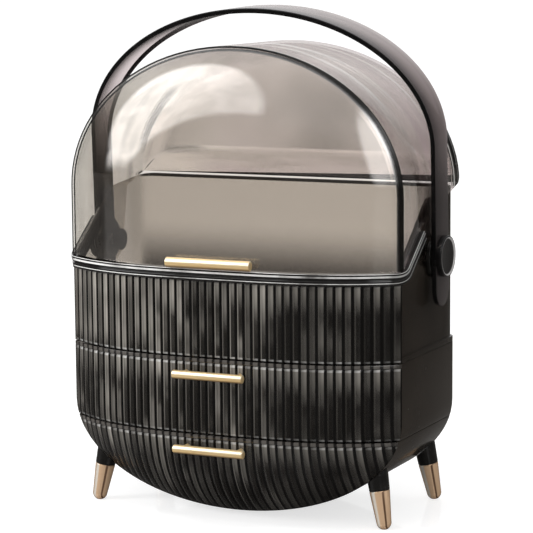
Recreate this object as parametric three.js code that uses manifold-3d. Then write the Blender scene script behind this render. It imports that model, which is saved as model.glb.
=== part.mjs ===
// Countertop makeup organizer: two drawers under a display case with a turning visor lid,
// a carrying handle on the same pivots, and four splayed feet.
// Millimetres, +Z up, +X to the right, the fronts face -Y. The origin is the middle of the
// footprint on the table.

import * as THREE from "three";
import { mergeVertices } from "three/addons/utils/BufferGeometryUtils.js";
import Module from "manifold-3d";

const wasm = await Module();
wasm.setup();

// The outline seen from the front: straight sides between two half ellipses.
const bodyHalfWidth = 145;
const lowerArcZ = 86.5;
const lowerArcHeight = 82;
const upperArcZ = 262;
const upperArcHeight = 114.5;

// Depths behind the front edge of the side walls, which lies at y = 0 in the body's frame.
const bodyDepth = 122;
const rearEdgeRadius = 12;
const frontBulge = 36;
const bulgePower = 3.3;

// Heights of the two seams between the stacked casings.
const lowerSeamZ = 72.4;
const upperSeamZ = 134;

// Walls and clearances.
const housingWall = 2.5;
const seamGap = 0.3;
const frontGap = 0.4;
const overrun = 60;

// Drawers: a bin with a dished front wall and a ribbed panel screwed over it.
const panelThickness = 2.8;
const panelGap = 0.3;
const binWall = 2;
const binFloorGap = 0.5;
const binTopGap = 0.5;
const binRearGap = 2;
const lipHeight = 2.8;
const panelFootGap = 0.4;

// Display case: side walls set in above a low lip, and a bead round the mouth.
const caseInset = 2.2;
const lipTopZ = 138.5;
const rimZ = 205;
const beadHeight = 9.4;
const beadOutset = 4;
const beadInset = 4.2;
const beadEndY = 41;
const rearWallZ = 262;
const caseTopZ = 256;
const lidLap = 4;

// The pivots that the lid and the handle share.
const pivotY = 65.5;
const pivotZ = 210.5;
const pinRadius = 4.5;
const runningGap = 0.3;

// Lid: a clear shell whose side plates lie outside the display case.
const lidOutset = 1;
const lidWall = 2.3;
const lidRimGap = 1;
const lidDepth = 144;
const lidRearRadius = 24;
const lidSlope = 37.2;
const slopeEndY = 60;
const lidHubRadius = 18;
const earFrontY = 44;
const earRearY = 91;
const earRearZ = 254;
const lidRearGap = 0.8;
const lidRearClearAngle = 0.9;

// Handle: a flat band bent to an arch, with round-ended legs that pass the pivots.
const handleStandOff = 6.6;
const handleArcZ = 299;
const handleArcHeight = 106;
const handleThickness = 4;
const legWidth = 28;
const handleTopWidth = 47;
const legDrop = 40;
const handleLean = 2.2;
const handleChamfer = 0.9;

// Pivot hardware.
const capRadius = 16.5;
const capHeight = 4.7;
const capRimWidth = 1.9;
const capRecess = 1.2;
const nutRadius = 9;
const nutHeight = 5;
const nutFloor = 2.2;
const washerRadius = 18;

// Pull bars, their stand-off bosses and screws.
const barRadius = 3.4;
const drawerBarHalfLength = 30.5;
const barStand = 7;
const middleBarZ = 121.5;
const lowerBarZ = 61.5;
const lidBarRadius = 4;
const lidBarHalfLength = 36.5;
const lidBarStand = 2.2;
const barChamfer = 0.8;
const bossRadius = 2.4;
const bossFromEnd = 7;
const screwRadius = 1.2;
const screwClearance = 0.3;
const screwHeadRadius = 2.8;
const screwHeadHeight = 1.6;

// Feet: a black collar with a spigot through the casing, and a metal tip on the collar's peg,
// rounded below with a small flat to stand on.
const footTipInset = 17.5;
const footFrontY = 6;
const footRearInset = 6;
const footLeanX = 10.3;
const footLeanY = 4.5;
const footEndRadius = 6;
const footFlatDepth = 0.6;
const tipTopRadius = 8.2;
const tipLength = 25;
const collarTopRadius = 10;
const collarReach = 41;
const pegRadius = 4;
const pegLength = 12;
const spigotRadius = 4.5;

// How finely the curves are cut.
const arcSteps = 16;
const edgeSteps = 3;
const roundSteps = 24;
const smallSteps = 12;
const dishShares = [0.22, 0.45, 0.64, 0.78, 0.89, 0.96];

const degrees = Math.PI / 180;
const radial = (angle) => new THREE.Vector2(Math.cos(angle), Math.sin(angle));

// Sizes that follow from those above.
const binInset = panelThickness + panelGap;
const lidEdgeZ = rimZ + lidRimGap;
const lidInset = lidWall - lidOutset;
const rearCorner = new THREE.Vector2(bodyDepth - pivotY, rearWallZ - pivotZ);
const lidRearAngle = rearCorner.angle() + lidRearClearAngle * degrees;
const lidRearReach = rearCorner.length() + lidRearGap;
const barDepth = frontBulge + barStand + 2 * barRadius;
const frameShiftY = (barDepth - lidDepth) / 2;
const wallOuterX = bodyHalfWidth - caseInset;
const wallInnerX = wallOuterX - housingWall;
const lidOuterX = bodyHalfWidth + lidOutset;
const handleHalfWidth = bodyHalfWidth + handleStandOff;
const legInnerX = handleHalfWidth - handleThickness / 2;
const legOuterX = handleHalfWidth + handleThickness / 2;
const slopeZ = (y) => lidEdgeZ + y * Math.tan(lidSlope * degrees);

const finish = (color, roughness, metalness = 0, opacity = 1) =>
  new THREE.MeshStandardMaterial({
    color,
    roughness,
    metalness,
    opacity,
    transparent: opacity < 1,
  });
const smokeCasing = finish("#37332f", 0.25);
const smokeRibs = finish("#4a4641", 0.2, 0, 0.8);
const smokeBin = finish("#6b655e", 0.25, 0, 0.6);
const smokeLid = finish("#b9aca0", 0.08, 0, 0.35);
const smokeHandle = finish("#4f4746", 0.15, 0, 0.85);
const blackPlastic = finish("#161414", 0.2);
const goldSatin = finish("#e2bd78", 0.3, 1);
const roseGold = finish("#cfa877", 0.18, 1);
const steel = finish("#b8b8b8", 0.35, 1);

// A closed manifold solid of a three.js geometry, with its shared vertices merged and its
// faces turned outwards.
function solid(geometry) {
  const bare = geometry.clone();
  bare.deleteAttribute("normal");
  bare.deleteAttribute("uv");
  const merged = mergeVertices(bare);
  const corners = merged.index.array;
  const point = (i) => new THREE.Vector3().fromBufferAttribute(merged.attributes.position, i);
  const triangles = [];
  let volume = 0;
  for (let i = 0; i < corners.length; i += 3) {
    const [a, b, c] = corners.slice(i, i + 3);
    if (a === b || b === c || c === a) continue;
    triangles.push(a, b, c);
    volume += point(a).cross(point(b)).dot(point(c));
  }
  if (volume < 0) triangles.reverse();
  return new wasm.Manifold(
    new wasm.Mesh({
      numProp: 3,
      vertProperties: merged.attributes.position.array,
      triVerts: Uint32Array.from(triangles),
    }),
  );
}

// Back from a manifold solid to a geometry with flat faces.
function geometryOf(manifold) {
  const mesh = manifold.getMesh();
  const geometry = new THREE.BufferGeometry();
  geometry.setAttribute("position", new THREE.BufferAttribute(mesh.vertProperties, 3));
  geometry.setIndex(new THREE.BufferAttribute(mesh.triVerts, 1));
  geometry.computeVertexNormals();
  return geometry;
}

function mesh(name, shape, material) {
  const made = new THREE.Mesh(geometryOf(shape), material);
  made.name = name;
  return made;
}

// A closed geometry through a row of outlines with equally many points, capped at both ends.
function loft(outlines) {
  const count = outlines[0].length;
  const index = [];
  for (let ring = 0; ring + 1 < outlines.length; ring++) {
    const here = ring * count;
    const next = here + count;
    for (let i = 0; i < count; i++) {
      const j = (i + 1) % count;
      index.push(here + i, next + i, here + j);
      index.push(here + j, next + i, next + j);
    }
  }
  const last = (outlines.length - 1) * count;
  for (let i = 1; i + 1 < count; i++) {
    index.push(0, i, i + 1);
    index.push(last, last + i + 1, last + i);
  }
  const geometry = new THREE.BufferGeometry().setFromPoints(outlines.flat());
  geometry.setIndex(index);
  return geometry;
}

// One ring of the front-view outline, drawn in by an inset and then by a share of its size.
function ring(y, inset, share = 1) {
  const points = [];
  for (const [centreZ, height, start] of [
    [upperArcZ, upperArcHeight, 0],
    [lowerArcZ, lowerArcHeight, Math.PI],
  ]) {
    for (let i = 0; i <= arcSteps; i++) {
      const angle = start + (i / arcSteps) * Math.PI;
      const x = (bodyHalfWidth - inset) * share * Math.cos(angle);
      points.push(new THREE.Vector3(x, y, centreZ + (height - inset) * share * Math.sin(angle)));
    }
  }
  return points;
}

// The rings of a flat rear with a rounded edge.
function rearRings(rear, inset, radius) {
  const rings = [];
  for (let i = 0; i <= edgeSteps; i++) {
    const turn = radial((i / edgeSteps) * (Math.PI / 2));
    rings.push(ring(rear - radius + radius * turn.y, inset + radius * (1 - turn.x)));
  }
  return rings;
}

// A barrel with the front-view outline, flat in front and round-edged behind.
function barrel(inset, front, rear, radius) {
  return solid(loft([ring(front, inset), ...rearRings(rear, inset, radius)]));
}

// How far the dished front stands ahead of y = 0 at a point of the front view.
function dishDepth(inset, x, z) {
  const across = x / (bodyHalfWidth - inset);
  const below = Math.max(lowerArcZ - z, 0) / (lowerArcHeight - inset);
  return (frontBulge - inset) * (1 - Math.hypot(across, below) ** bulgePower);
}

function dishRings(inset) {
  return dishShares.map((share) =>
    ring(-(frontBulge - inset) * (1 - share ** bulgePower), inset, share),
  );
}

// The same barrel with the front swelling forward like a cushion.
function dishedBarrel(inset, rear, radius) {
  return solid(loft([...dishRings(inset), ring(0, inset), ...rearRings(rear, inset, radius)]));
}

// Only the swelling part in front of y = 0.
function dish(inset) {
  return solid(loft([...dishRings(inset), ring(0, inset)]));
}

function block(fromX, toX, fromY, toY, fromZ, toZ) {
  const box = new THREE.BoxGeometry(toX - fromX, toY - fromY, toZ - fromZ);
  return solid(box.translate((fromX + toX) / 2, (fromY + toY) / 2, (fromZ + toZ) / 2));
}

// Everything between two heights.
function slab(fromZ, toZ) {
  const reachX = bodyHalfWidth + overrun;
  return block(-reachX, reachX, -frontBulge - overrun, lidDepth + overrun, fromZ, toZ);
}

// A side-view outline carried through from one x to another.
function sidePlate(points, fromX, toX) {
  const shape = new THREE.Shape(points);
  const plate = new THREE.ExtrudeGeometry(shape, { depth: toX - fromX, bevelEnabled: false });
  const turn = new THREE.Matrix4().makeBasis(
    new THREE.Vector3(0, 1, 0),
    new THREE.Vector3(0, 0, 1),
    new THREE.Vector3(1, 0, 0),
  );
  return solid(plate.applyMatrix4(turn).translate(fromX, 0, 0));
}

// A solid of revolution about a line along X from points of x along the line and radius.
function turnedAboutX(profile, steps, y = 0, z = 0) {
  const points = profile.map(([along, radius]) => new THREE.Vector2(radius, along));
  const turned = new THREE.LatheGeometry(points, steps).rotateZ(-Math.PI / 2);
  return solid(turned.translate(0, y, z));
}

function rodAlongX(radius, fromX, toX, y, z) {
  const rod = new THREE.CylinderGeometry(radius, radius, toX - fromX, smallSteps);
  return solid(rod.rotateZ(Math.PI / 2).translate((fromX + toX) / 2, y, z));
}

function rodAlongY(radius, x, fromY, toY, z) {
  const rod = new THREE.CylinderGeometry(radius, radius, toY - fromY, smallSteps);
  return solid(rod.translate(x, (fromY + toY) / 2, z));
}

// Casings

// The foot's axis leans out from the casing; its frame starts at the centre of the round end.
const feet = [];
for (const [end, ahead] of [["front", -1], ["rear", 1]]) {
  for (const [hand, side] of [["left", -1], ["right", 1]]) {
    const leanX = -side * Math.tan(footLeanX * degrees);
    const leanY = -ahead * Math.tan(footLeanY * degrees);
    const along = new THREE.Vector3(leanX, leanY, 1).normalize();
    const turn = new THREE.Quaternion().setFromUnitVectors(new THREE.Vector3(0, 0, 1), along);
    const standX = side * (bodyHalfWidth - footTipInset);
    const standY = ahead < 0 ? footFrontY : bodyDepth - footRearInset;
    const start = new THREE.Vector3(standX, standY, footEndRadius - footFlatDepth);
    feet.push({ name: `${end}_${hand}`, start, turn });
  }
}

const footPlace = (foot) =>
  new THREE.Matrix4().compose(foot.start, foot.turn, new THREE.Vector3(1, 1, 1));

function footRod(radius, from, to) {
  const rod = new THREE.CylinderGeometry(radius, radius, to - from, roundSteps);
  return rod.rotateX(Math.PI / 2).translate(0, 0, (from + to) / 2);
}

const collarFrom = tipLength + seamGap;
const collarTo = collarFrom + collarReach;

function lowerHousing() {
  const outer = barrel(0, frontGap, bodyDepth, rearEdgeRadius);
  const inner = barrel(
    housingWall,
    -overrun,
    bodyDepth - housingWall,
    rearEdgeRadius - housingWall,
  );
  let shell = outer.subtract(inner).intersect(slab(-overrun, lowerSeamZ - seamGap / 2));
  for (const foot of feet) {
    const bore = footRod(spigotRadius + runningGap, collarFrom, collarTo);
    shell = shell.subtract(solid(bore.applyMatrix4(footPlace(foot))));
  }
  return shell;
}

function middleHousing() {
  const floorZ = lowerSeamZ + seamGap / 2;
  const outer = barrel(0, frontGap, bodyDepth, rearEdgeRadius);
  const inner = barrel(
    housingWall,
    -overrun,
    bodyDepth - housingWall,
    rearEdgeRadius - housingWall,
  );
  return outer
    .intersect(slab(floorZ, upperSeamZ - seamGap / 2))
    .subtract(inner.intersect(slab(floorZ + housingWall, upperSeamZ + overrun)));
}

// The bead along the mouth: along the dished front, then up the slope on either side.
function rimBead() {
  const half = beadHeight / 2;
  const inset = (beadInset - beadOutset) / 2;
  const thick = (beadInset + beadOutset) / 2;
  const sideX = bodyHalfWidth - inset;
  const frontZ = rimZ - half;
  const slopeDrop = (half + lidRimGap + runningGap) / Math.cos(lidSlope * degrees);
  const beadZ = (y) => slopeZ(y) - slopeDrop;
  const turnY = (frontZ - beadZ(0)) / Math.tan(lidSlope * degrees);
  const frontShares = [0, 0.2, 0.38, 0.54, 0.68, 0.79, 0.88];
  const edgeShare = 0.95;
  const riseShares = [0.2, 0.45, 0.72, 1];
  const front = (share) =>
    new THREE.Vector3(sideX * share, -dishDepth(inset, sideX * share, frontZ), frontZ);
  const slope = (share) => new THREE.Vector3(sideX, beadEndY * share, beadZ(beadEndY * share));
  const corner = new THREE.QuadraticBezierCurve3(
    front(edgeShare),
    new THREE.Vector3(sideX, turnY, frontZ),
    slope(riseShares[0]),
  );
  const right = [
    ...frontShares.map(front),
    ...corner.getPoints(edgeSteps + 1),
    ...riseShares.slice(1).map(slope),
  ];
  const left = right.slice(1).reverse();
  const path = [...left.map((p) => new THREE.Vector3(-p.x, p.y, p.z)), ...right];
  const chamfer = thick / 2;
  const section = [
    [thick, half - chamfer], [thick - chamfer, half], [-thick, half],
    [-thick, -half], [thick - chamfer, -half], [thick, chamfer - half],
  ];
  const outlines = path.map((point, i) => {
    const before = path[Math.max(i - 1, 0)];
    const after = path[Math.min(i + 1, path.length - 1)];
    const along = after.clone().sub(before).normalize();
    const out = new THREE.Vector3(point.x, Math.min(point.y, 0), 0);
    out.addScaledVector(along, -out.dot(along)).normalize();
    const up = out.clone().cross(along).normalize();
    if (up.z < 0) up.negate();
    return section.map(([o, u]) => point.clone().addScaledVector(out, o).addScaledVector(up, u));
  });
  return solid(loft(outlines));
}

// The case wall's top edge in the side view, lapped inside the lid.
const caseTop = [
  [-frontBulge - overrun, rimZ - runningGap],
  [frontGap, rimZ - runningGap],
  [lidLap, slopeZ(lidLap)],
  [slopeEndY, caseTopZ],
  [bodyDepth, rearWallZ],
  [bodyDepth + overrun, rearWallZ],
  [bodyDepth + overrun, upperSeamZ],
  [-frontBulge - overrun, upperSeamZ],
].map(([y, z]) => new THREE.Vector2(y, z));

// The room that the lid's arch sweeps outside the wall's rear corner while the lid opens.
function lidSweep(side) {
  const arch = ring(0, lidInset).slice(0, edgeSteps);
  const outside = bodyHalfWidth + overrun;
  const inside = arch.map((point) => [side * (point.x - runningGap), point.z - pivotZ]);
  const [first, last] = [inside[0], inside[inside.length - 1]];
  const profile = [...inside, [side * outside, last[1]], [side * outside, first[1]], first];
  return turnedAboutX(profile, 2 * roundSteps, pivotY, pivotZ).intersect(
    block(-outside, outside, pivotY, bodyDepth + overrun, pivotZ, rearWallZ + overrun),
  );
}

function displayCase() {
  const floorZ = upperSeamZ + seamGap / 2;
  const rear = bodyDepth - housingWall;
  const innerRadius = rearEdgeRadius - housingWall;
  const sides = barrel(caseInset, frontGap, bodyDepth, rearEdgeRadius);
  const lip = barrel(0, frontGap, bodyDepth, rearEdgeRadius).intersect(slab(floorZ, lipTopZ));
  const hollow = barrel(caseInset + housingWall, frontGap, rear, innerRadius)
    .add(dishedBarrel(binInset + binWall, rear, innerRadius))
    .intersect(slab(floorZ + housingWall, upperArcZ + overrun));
  const walls = sides
    .add(dishedBarrel(binInset, bodyDepth / 2, innerRadius))
    .intersect(sidePlate(caseTop, -bodyHalfWidth, bodyHalfWidth))
    .intersect(slab(floorZ, upperArcZ))
    .subtract(lidSweep(1))
    .subtract(lidSweep(-1));
  const bored = rodAlongX(pinRadius + runningGap, -bodyHalfWidth, bodyHalfWidth, pivotY, pivotZ);
  return walls.add(lip).add(rimBead()).subtract(hollow).subtract(bored);
}

function displayFront() {
  const foot = upperSeamZ + seamGap / 2 + panelFootGap;
  const top = rimZ - beadHeight - panelGap;
  return dish(0).subtract(dish(panelThickness)).intersect(slab(foot, top));
}

// Drawers

// A screw from inside the bin into the bar, with the bores that it needs.
function screwRun(x, z, barY, screwInset) {
  const edgeX = Math.abs(x) + screwHeadRadius;
  const headY = runningGap - dishDepth(screwInset, edgeX, z - screwHeadRadius);
  return { x, z, headY, tipY: barY };
}

function screw(run) {
  const shank = rodAlongY(screwRadius, run.x, run.tipY, run.headY + screwHeadHeight / 2, run.z);
  const head = rodAlongY(
    screwHeadRadius,
    run.x,
    run.headY,
    run.headY + screwHeadHeight,
    run.z,
  );
  return shank.add(head);
}

function screwBore(run) {
  const radius = screwRadius + screwClearance;
  return rodAlongY(radius, run.x, run.tipY - screwClearance, run.headY + overrun, run.z);
}

// The bar and its two bosses, which reach back to the panel.
function pullBar(radius, halfLength, barY, z, runs, inset) {
  const profile = [
    [-halfLength, 0],
    [-halfLength, radius - barChamfer],
    [-halfLength + barChamfer, radius],
    [halfLength - barChamfer, radius],
    [halfLength, radius - barChamfer],
    [halfLength, 0],
  ];
  let bar = turnedAboutX(profile, smallSteps);
  for (const run of runs) {
    const edgeX = Math.abs(run.x) - bossRadius;
    const foot = -dishDepth(inset, edgeX, z + bossRadius) - panelGap;
    bar = bar.add(rodAlongY(bossRadius, run.x, 0, foot - barY, 0));
    const bore = { ...run, z: 0, tipY: run.tipY - barY, headY: run.headY - barY };
    bar = bar.subtract(screwBore(bore));
  }
  return bar;
}

function drawer(name, fromZ, topZ, panelFootZ, barZ) {
  const group = new THREE.Group();
  const barY = -(frontBulge + barStand + barRadius);
  const bossX = drawerBarHalfLength - bossFromEnd;
  const inset = binInset + binWall;
  const runs = [-bossX, bossX].map((x) => screwRun(x, barZ, barY, inset));
  const rear = bodyDepth - housingWall - binRearGap;
  const radius = rearEdgeRadius - housingWall;

  const outer = dishedBarrel(binInset, rear, radius).intersect(slab(fromZ, topZ));
  const lip = dish(0).intersect(slab(topZ - lipHeight, topZ));
  const hollow = dishedBarrel(inset, rear - binWall, radius - binWall);
  let bin = outer.add(lip).subtract(hollow.intersect(slab(fromZ + binWall, topZ + overrun)));
  const panelTop = topZ - lipHeight - panelGap;
  let panel = dish(0).subtract(dish(panelThickness)).intersect(slab(panelFootZ, panelTop));
  for (const run of runs) {
    bin = bin.subtract(screwBore(run));
    panel = panel.subtract(screwBore(run));
  }
  const bar = mesh(
    `${name}_pull_bar`,
    pullBar(barRadius, drawerBarHalfLength, barY, barZ, runs, 0),
    goldSatin,
  );
  bar.position.set(0, barY, barZ);
  group.add(mesh(`${name}_drawer_bin`, bin, smokeBin));
  group.add(mesh(`${name}_drawer_front`, panel, smokeRibs));
  group.add(bar);
  group.add(mesh(`${name}_pull_screw_left`, screw(runs[0]), steel));
  group.add(mesh(`${name}_pull_screw_right`, screw(runs[1]), steel));
  return group;
}

// Lid

// The lid's lower edge in the side view: the slope, the ear down to the pivot, the low rear
// edge over the case wall, and the rear cut, which points at the pivot.
function lidSide() {
  const points = [new THREE.Vector2(-frontBulge - overrun, lidEdgeZ)];
  points.push(new THREE.Vector2(0, lidEdgeZ));
  points.push(new THREE.Vector2(earFrontY, slopeZ(earFrontY)));
  for (let i = 0; i <= roundSteps / 2; i++) {
    const turn = radial(Math.PI + (i / (roundSteps / 2)) * Math.PI);
    points.push(
      new THREE.Vector2(pivotY + lidHubRadius * turn.x, pivotZ + lidHubRadius * turn.y),
    );
  }
  points.push(new THREE.Vector2(earRearY, earRearZ));
  for (const reach of [lidRearReach, lidRearReach + lidDepth]) {
    const turn = radial(lidRearAngle);
    points.push(new THREE.Vector2(pivotY + reach * turn.x, pivotZ + reach * turn.y));
  }
  const topZ = upperArcZ + upperArcHeight + lidDepth + overrun;
  points.push(new THREE.Vector2(lidDepth + overrun, topZ));
  points.push(new THREE.Vector2(-frontBulge - overrun, topZ));
  return points;
}

// The strip that closes the lid's rear cut.
function lidRearLip() {
  const turn = radial(lidRearAngle);
  const across = new THREE.Vector2(-turn.y, turn.x).multiplyScalar(lidWall);
  const near = new THREE.Vector2(pivotY, pivotZ).addScaledVector(turn, lidRearReach);
  const far = near.clone().addScaledVector(turn, lidDepth);
  const points = [near, far, far.clone().add(across), near.clone().add(across)];
  return sidePlate(points, -lidOuterX, lidOuterX);
}

const lidBarY = -(frontBulge + lidOutset + lidBarStand + lidBarRadius);
const lidBarZ = lidEdgeZ + lidBarRadius;
const lidBossX = lidBarHalfLength - bossFromEnd;
const lidRuns = [-lidBossX, lidBossX].map((x) => screwRun(x, lidBarZ, lidBarY, lidInset));

function lidShell() {
  const outer = dishedBarrel(-lidOutset, lidDepth, lidRearRadius);
  const inner = dishedBarrel(lidInset, lidDepth - lidWall, lidRearRadius - lidWall);
  let shell = outer
    .subtract(inner)
    .add(lidRearLip().intersect(outer))
    .intersect(sidePlate(lidSide(), -lidOuterX - overrun, lidOuterX + overrun));
  const bore = pinRadius + runningGap;
  shell = shell.subtract(rodAlongX(bore, -lidOuterX - overrun, lidOuterX + overrun, pivotY, pivotZ));
  for (const run of lidRuns) shell = shell.subtract(screwBore(run));
  return shell;
}

// Handle

// The band from the left leg's round end, over the arch, to the right leg's end. Each station
// gives the middle of the band, the direction out from it and the band's width.
function handleStations() {
  const half = legWidth / 2;
  const legEndZ = pivotZ - legDrop;
  const legSteps = 4;
  const archSteps = 2 * arcSteps;
  const leg = [];
  for (let i = 1; i <= legSteps; i++) {
    const turn = radial((i / legSteps) * (Math.PI / 2));
    leg.push([legEndZ + half * (1 - turn.x), legWidth * turn.y]);
  }
  const stations = leg.map(([z, width]) => ({ x: -handleHalfWidth, z, out: [-1, 0], width }));
  for (let i = 0; i <= archSteps; i++) {
    const turn = radial(Math.PI * (1 - i / archSteps));
    stations.push({
      x: handleHalfWidth * turn.x,
      z: handleArcZ + handleArcHeight * turn.y,
      out: [turn.x * handleArcHeight, turn.y * handleHalfWidth],
      width: legWidth + (handleTopWidth - legWidth) * turn.y,
    });
  }
  for (const [z, width] of leg.reverse()) {
    stations.push({ x: handleHalfWidth, z, out: [1, 0], width });
  }
  return stations;
}

function carryHandle() {
  const half = handleThickness / 2;
  const outlines = handleStations().map(({ x, z, out, width }) => {
    const [outX, outZ] = new THREE.Vector2(...out).normalize().toArray();
    const reach = width / 2;
    const cut = Math.min(handleChamfer, reach / 2);
    const section = [
      [half - cut, reach], [half, reach - cut], [half, cut - reach], [half - cut, -reach],
      [cut - half, -reach], [-half, cut - reach], [-half, reach - cut], [cut - half, reach],
    ];
    return section.map(([u, v]) => new THREE.Vector3(x + outX * u, v, z - pivotZ + outZ * u));
  });
  const bore = pinRadius + runningGap;
  const reachX = handleHalfWidth + overrun;
  const band = solid(loft(outlines)).subtract(rodAlongX(bore, -reachX, reachX, 0, 0));
  const handle = mesh("carry_handle", band, smokeHandle);
  handle.position.set(0, pivotY, pivotZ);
  handle.rotation.x = handleLean * degrees;
  return handle;
}

// Pivots: on each side a pin through the case wall, the lid's ear and the handle's leg, a nut
// inside, a washer between lid and leg, and a dished cap outside. Drawn for the right side.
function pivotHardware(hand, turned) {
  const group = new THREE.Group();
  const bore = pinRadius + runningGap;
  const nutX = wallInnerX - runningGap;
  const capX = legOuterX + runningGap;
  const nutProfile = [
    [nutX - nutHeight, 0],
    [nutX - nutHeight, nutRadius - barChamfer],
    [nutX - nutHeight + barChamfer, nutRadius],
    [nutX, nutRadius],
    [nutX, bore],
    [nutX - nutHeight + nutFloor, bore],
    [nutX - nutHeight + nutFloor, 0],
  ];
  const capEnd = capX + capHeight;
  const boreEnd = capEnd - capRecess - barChamfer;
  const capProfile = [
    [boreEnd, 0],
    [boreEnd, bore],
    [capX, bore],
    [capX, capRadius],
    [capEnd - barChamfer, capRadius],
    [capEnd, capRadius - barChamfer],
    [capEnd, capRadius - capRimWidth],
    [capEnd - capRecess, capRadius - capRimWidth - barChamfer],
    [capEnd - capRecess, 0],
  ];
  const washerProfile = [
    [lidOuterX + runningGap, bore],
    [lidOuterX + runningGap, washerRadius],
    [legInnerX - runningGap, washerRadius],
    [legInnerX - runningGap, bore],
    [lidOuterX + runningGap, bore],
  ];
  const pinFrom = nutX - nutHeight + nutFloor + runningGap;
  const pinTo = boreEnd - runningGap;
  const pin = rodAlongX(pinRadius, pinFrom, pinTo, 0, 0);
  group.add(mesh(`pivot_nut_${hand}`, turnedAboutX(nutProfile, smallSteps), blackPlastic));
  group.add(mesh(`pivot_cap_${hand}`, turnedAboutX(capProfile, roundSteps), blackPlastic));
  group.add(mesh(`pivot_washer_${hand}`, turnedAboutX(washerProfile, roundSteps), blackPlastic));
  group.add(mesh(`pivot_pin_${hand}`, pin, steel));
  group.position.set(0, pivotY, pivotZ);
  group.rotation.z = turned;
  return group;
}

// Feet

function footGroup(foot) {
  const group = new THREE.Group();
  const inside = footPlace(foot).invert();
  const casing = (inset) =>
    solid(
      loft([ring(-overrun, inset), ...rearRings(bodyDepth, inset, rearEdgeRadius)])
        .applyMatrix4(inside),
    );
  const around = (profile) => {
    const points = profile.map(([radius, z]) => new THREE.Vector2(radius, z));
    return solid(new THREE.LatheGeometry(points, roundSteps).rotateX(Math.PI / 2));
  };
  const endArc = [];
  for (let i = 0; i <= edgeSteps + 2; i++) {
    const turn = radial((i / (edgeSteps + 2)) * (Math.PI / 2));
    endArc.push([footEndRadius * turn.y, -footEndRadius * turn.x]);
  }
  const tipTop = tipLength;
  const boreFoot = tipTop - pegLength - seamGap;
  const bore = pegRadius + runningGap;
  const table = solid(
    new THREE.BoxGeometry(overrun, overrun, overrun)
      .translate(foot.start.x, foot.start.y, -overrun / 2)
      .applyMatrix4(inside),
  );
  const tip = around([
    ...endArc,
    [tipTopRadius, tipTop],
    [bore, tipTop],
    [bore, boreFoot],
    [0, boreFoot],
  ]).subtract(table);
  const cone = around([
    [0, collarFrom],
    [tipTopRadius, collarFrom],
    [collarTopRadius, collarTo],
    [0, collarTo],
  ]);
  const peg = solid(footRod(pegRadius, boreFoot + seamGap, collarFrom + pegLength));
  const spigot = solid(footRod(spigotRadius, collarFrom + seamGap, collarTo));
  const collar = cone
    .subtract(casing(-seamGap))
    .add(peg.subtract(casing(-seamGap)))
    .add(spigot.subtract(casing(housingWall - runningGap)));
  group.add(mesh(`foot_collar_${foot.name}`, collar, blackPlastic));
  group.add(mesh(`foot_tip_${foot.name}`, tip, roseGold));
  group.position.copy(foot.start);
  group.quaternion.copy(foot.turn);
  return group;
}

// Assembly

const organizer = new THREE.Group();
organizer.position.y = frameShiftY;
organizer.add(mesh("lower_housing", lowerHousing(), smokeCasing));
organizer.add(mesh("middle_housing", middleHousing(), smokeCasing));
organizer.add(mesh("display_case", displayCase(), smokeCasing));
organizer.add(mesh("display_front", displayFront(), smokeRibs));

const lowerFloorZ = lowerArcZ - lowerArcHeight;
const lowerTopZ = lowerSeamZ - seamGap / 2 - binTopGap;
const middleFloorZ = lowerSeamZ + seamGap / 2 + housingWall + binFloorGap;
const middleTopZ = upperSeamZ - seamGap / 2 - binTopGap;
const middlePanelZ = lowerSeamZ + seamGap / 2 + panelFootGap;
organizer.add(drawer("lower", lowerFloorZ - binWall, lowerTopZ, lowerFloorZ - binWall, lowerBarZ));
organizer.add(drawer("middle", middleFloorZ, middleTopZ, middlePanelZ, middleBarZ));

organizer.add(mesh("lid_shell", lidShell(), smokeLid));
const lidBar = mesh(
  "lid_pull_bar",
  pullBar(lidBarRadius, lidBarHalfLength, lidBarY, lidBarZ, lidRuns, -lidOutset),
  goldSatin,
);
lidBar.position.set(0, lidBarY, lidBarZ);
organizer.add(lidBar);
organizer.add(mesh("lid_pull_screw_left", screw(lidRuns[0]), steel));
organizer.add(mesh("lid_pull_screw_right", screw(lidRuns[1]), steel));

organizer.add(carryHandle());
organizer.add(pivotHardware("right", 0));
organizer.add(pivotHardware("left", Math.PI));
for (const foot of feet) organizer.add(footGroup(foot));

export default organizer;
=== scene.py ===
import math

import bmesh
import bpy
from mathutils import Matrix, Quaternion, Vector


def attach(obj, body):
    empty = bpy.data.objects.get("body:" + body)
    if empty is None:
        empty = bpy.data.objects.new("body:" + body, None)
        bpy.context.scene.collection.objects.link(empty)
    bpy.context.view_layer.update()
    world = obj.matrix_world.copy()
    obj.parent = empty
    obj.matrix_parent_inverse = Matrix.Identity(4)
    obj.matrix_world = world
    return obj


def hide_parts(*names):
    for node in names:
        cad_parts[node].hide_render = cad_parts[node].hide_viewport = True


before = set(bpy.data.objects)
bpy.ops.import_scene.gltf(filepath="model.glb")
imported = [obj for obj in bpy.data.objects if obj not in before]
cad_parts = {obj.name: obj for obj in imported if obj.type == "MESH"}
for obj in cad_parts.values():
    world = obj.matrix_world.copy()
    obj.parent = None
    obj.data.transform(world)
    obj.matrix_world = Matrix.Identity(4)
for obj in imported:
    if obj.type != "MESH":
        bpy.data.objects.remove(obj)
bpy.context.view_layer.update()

# Camera: a long lens in front of the case and to its right, a little above it and turned a
# touch about its own axis.
camera = bpy.data.objects.new("camera", bpy.data.cameras.new("camera"))
bpy.context.scene.collection.objects.link(camera)
camera_aim = Vector((-0.0004, 0.0177, 0.1942))
camera_roll = math.radians(-0.45)
camera.location = (0.78865, -1.66324, 0.45195)
camera.rotation_mode = "QUATERNION"
looking = (camera_aim - camera.location).to_track_quat("-Z", "Y")
camera.rotation_quaternion = looking @ Quaternion((0, 0, 1), camera_roll)
camera.data.sensor_width = 36
camera.data.lens = 154.08
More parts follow.
